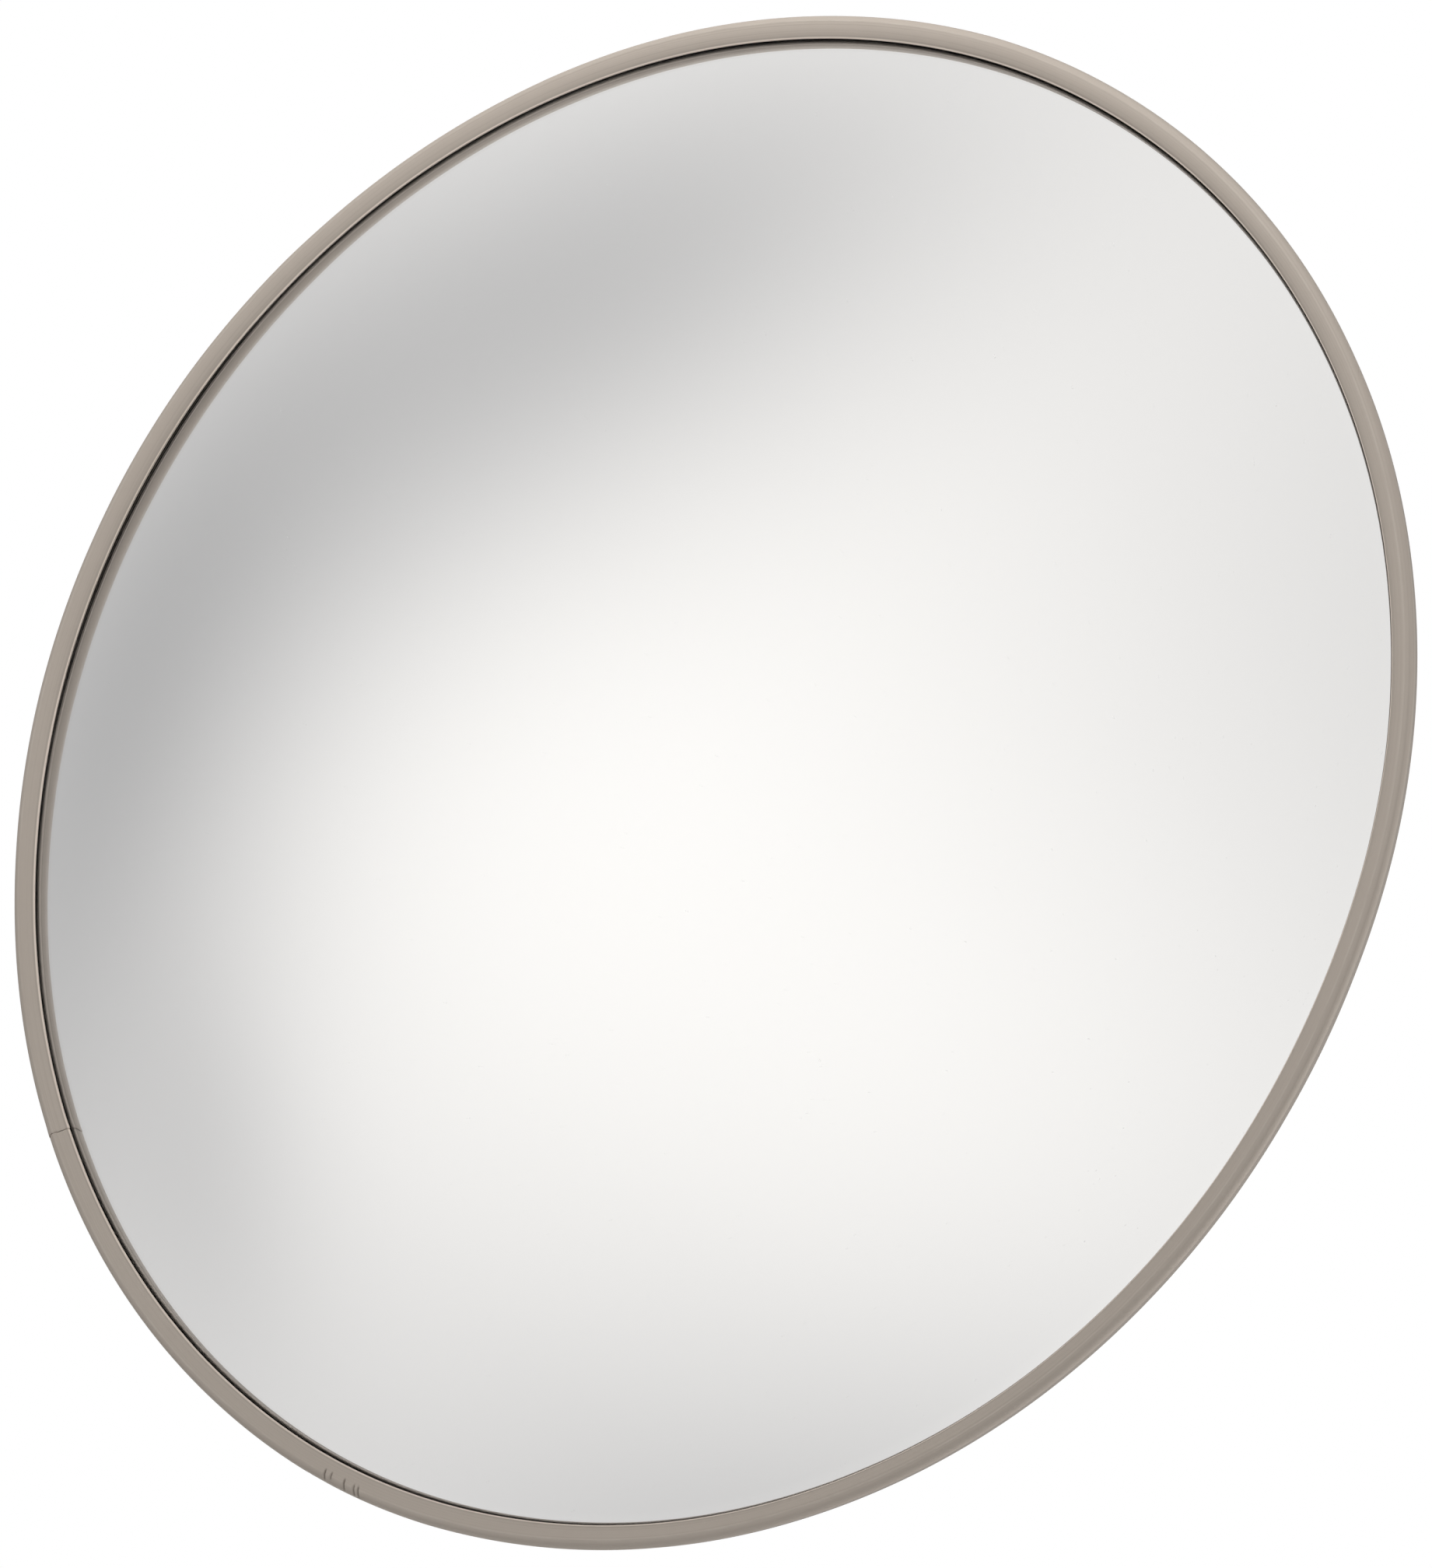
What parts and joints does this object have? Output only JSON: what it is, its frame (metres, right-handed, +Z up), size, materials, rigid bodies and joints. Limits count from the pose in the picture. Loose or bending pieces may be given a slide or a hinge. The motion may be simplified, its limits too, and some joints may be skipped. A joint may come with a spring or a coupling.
{
  "type": "convex security mirror",
  "caption": "Round domed mirror with a vinyl edge trim and a flat board back, carried on a wall arm that pans and tilts and locks with wing nuts.",
  "frame": {"origin": "centre of the wall plate's back face, on the wall plane", "axes": "+Y into the wall, -Y out of it towards the mirror, +Z up, +X to the right seen from the front"},
  "size_m": [0.9198, 0.4855, 0.92],
  "materials": {
    "mirror_face": "mirror",
    "vinyl_trim": "matte",
    "hardboard": "smooth hardboard",
    "coated_steel": "satin powder coat",
    "zinc_steel": "bright zinc plate",
    "plain_steel": "mill",
    "nylon": "satin"
  },
  "bodies": {
    "wall_mount": {"wall_plate": "coated_steel", "wall_yoke": "coated_steel", "yoke_rivets": "zinc_steel", "pan_bolt": "zinc_steel", "pan_head_washer": "zinc_steel"},
    "arm": {"rear_barrel": "coated_steel", "rear_bush_upper": "nylon", "rear_bush_lower": "nylon", "arm_tube": "coated_steel", "front_barrel": "coated_steel", "front_bush_left": "nylon", "front_bush_right": "nylon"},
    "mirror_head": {"head_bracket": "coated_steel", "tilt_bolt": "zinc_steel", "tilt_head_washer": "zinc_steel", "bracket_screws": "zinc_steel", "bracket_lock_washers": "zinc_steel", "bracket_nuts": "zinc_steel", "reinforcing_plate": "plain_steel", "backing_board": "hardboard", "mirror_dome": "mirror_face", "edge_trim": "vinyl_trim"},
    "pan_washer": {"pan_nut_washer": "zinc_steel"},
    "pan_nut": {"pan_wing_nut": "zinc_steel"},
    "tilt_washer": {"tilt_nut_washer": "zinc_steel"},
    "tilt_nut": {"tilt_wing_nut": "zinc_steel"}
  },
  "joints": [
    {"name": "pan", "type": "hinge", "parent": "wall_mount", "child": "arm", "pos_m": [0, -0.045, 0], "axis": [0, 0, 1], "range_deg": [-30, 30]},
    {"name": "tilt", "type": "hinge", "parent": "arm", "child": "mirror_head", "pos_m": [0, -0.315, 0], "axis": [1, 0, 0], "range_deg": [-10, 30]},
    {"name": "pan_nut_back_off", "type": "slide", "parent": "wall_mount", "child": "pan_washer", "axis": [0, 0, -1], "range_m": [0, 0.003]},
    {"name": "pan_nut_turn", "type": "hinge", "parent": "pan_washer", "child": "pan_nut", "pos_m": [0, -0.045, -0.03], "axis": [0, 0, -1], "range_deg": [0, 720]},
    {"name": "tilt_nut_back_off", "type": "slide", "parent": "mirror_head", "child": "tilt_washer", "axis": [1, 0, 0], "range_m": [0, 0.003]},
    {"name": "tilt_nut_turn", "type": "hinge", "parent": "tilt_washer", "child": "tilt_nut", "pos_m": [0.03, -0.315, 0], "axis": [1, 0, 0], "range_deg": [0, 720]}
  ],
  "couplings": [
    {"joint": "pan_nut_turn", "follows": "pan_nut_back_off", "rad_per_m": 4188.8},
    {"joint": "tilt_nut_turn", "follows": "tilt_nut_back_off", "rad_per_m": 4188.8}
  ]
}
